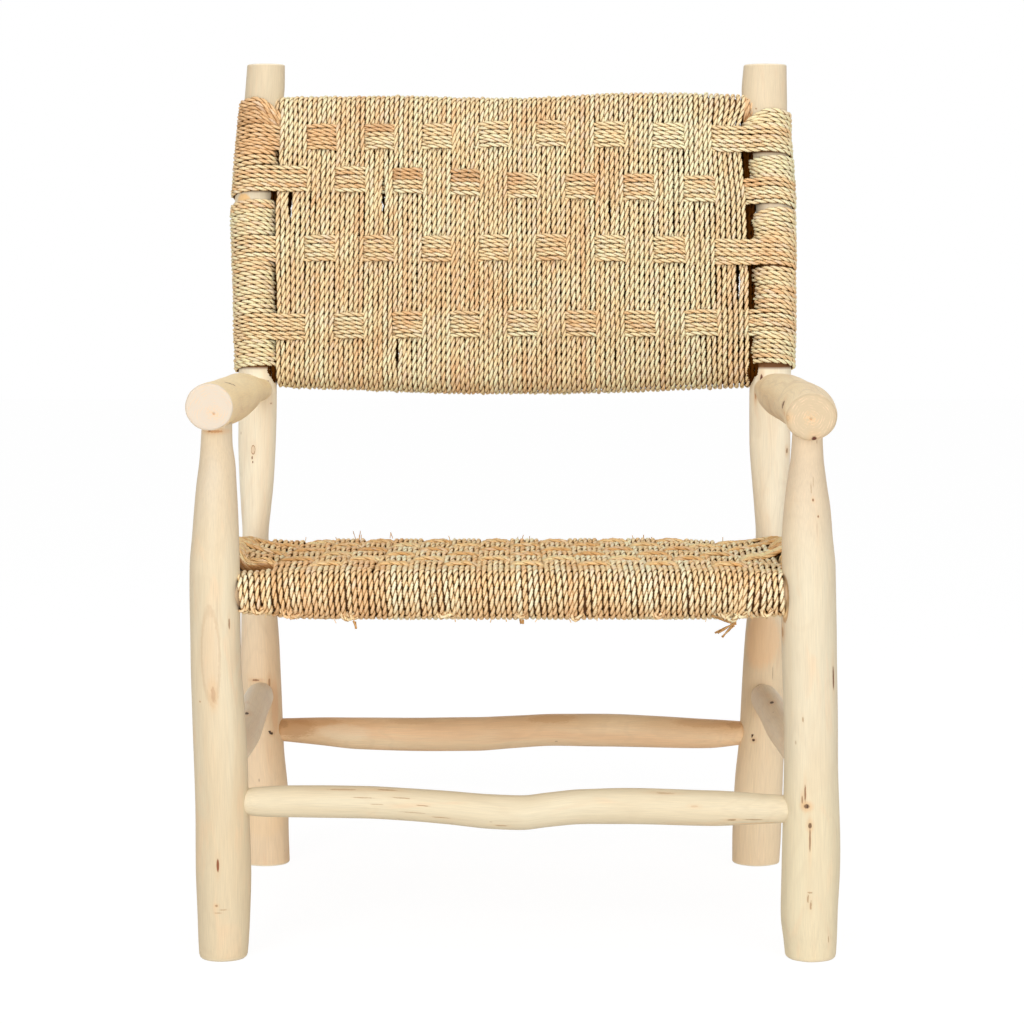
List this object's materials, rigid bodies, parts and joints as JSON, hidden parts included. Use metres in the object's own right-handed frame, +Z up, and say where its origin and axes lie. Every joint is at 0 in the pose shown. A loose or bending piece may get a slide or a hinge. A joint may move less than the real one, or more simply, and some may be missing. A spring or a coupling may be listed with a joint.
{
  "type": "armchair",
  "caption": "Low armchair of peeled natural poles pegged and nailed together, with a seat and a leaning back woven over and under from twisted palm cord.",
  "frame": {"origin": "on the floor under the middle of the chair's outline", "axes": "+Z up, -Y towards the front of the chair, +X towards the right arm as seen from the front"},
  "size_m": [0.6543, 0.7204, 0.894],
  "materials": {
    "pale_wood": "peeled, unfinished",
    "tan_wood": "peeled, unfinished",
    "warp_cord": "twisted palm cord",
    "weft_cord": "twisted palm cord",
    "wrap_cord": "twisted palm cord",
    "nail_iron": "dull iron"
  },
  "bodies": {
    "root": {"front_leg_left": "pale_wood", "front_leg_right": "pale_wood", "arm_left": "pale_wood", "arm_right": "pale_wood", "front_seat_rail": "pale_wood", "side_seat_rail_left": "pale_wood", "side_seat_rail_right": "pale_wood", "front_stretcher": "pale_wood", "side_stretcher_left": "pale_wood", "side_stretcher_right": "pale_wood", "back_bottom_rail": "pale_wood", "back_top_rail": "pale_wood", "rear_seat_rail": "pale_wood", "rear_post_left": "tan_wood", "rear_post_right": "tan_wood", "rear_stretcher": "tan_wood", "seat_warp": "warp_cord", "back_warp": "warp_cord", "seat_weft": "weft_cord", "back_weft": "weft_cord", "seat_wrap_left": "wrap_cord", "seat_wrap_right": "wrap_cord", "back_wrap_left": "wrap_cord", "back_wrap_right": "wrap_cord", "stretcher_nails": "nail_iron", "arm_nails": "nail_iron"}
  },
  "joints": []
}
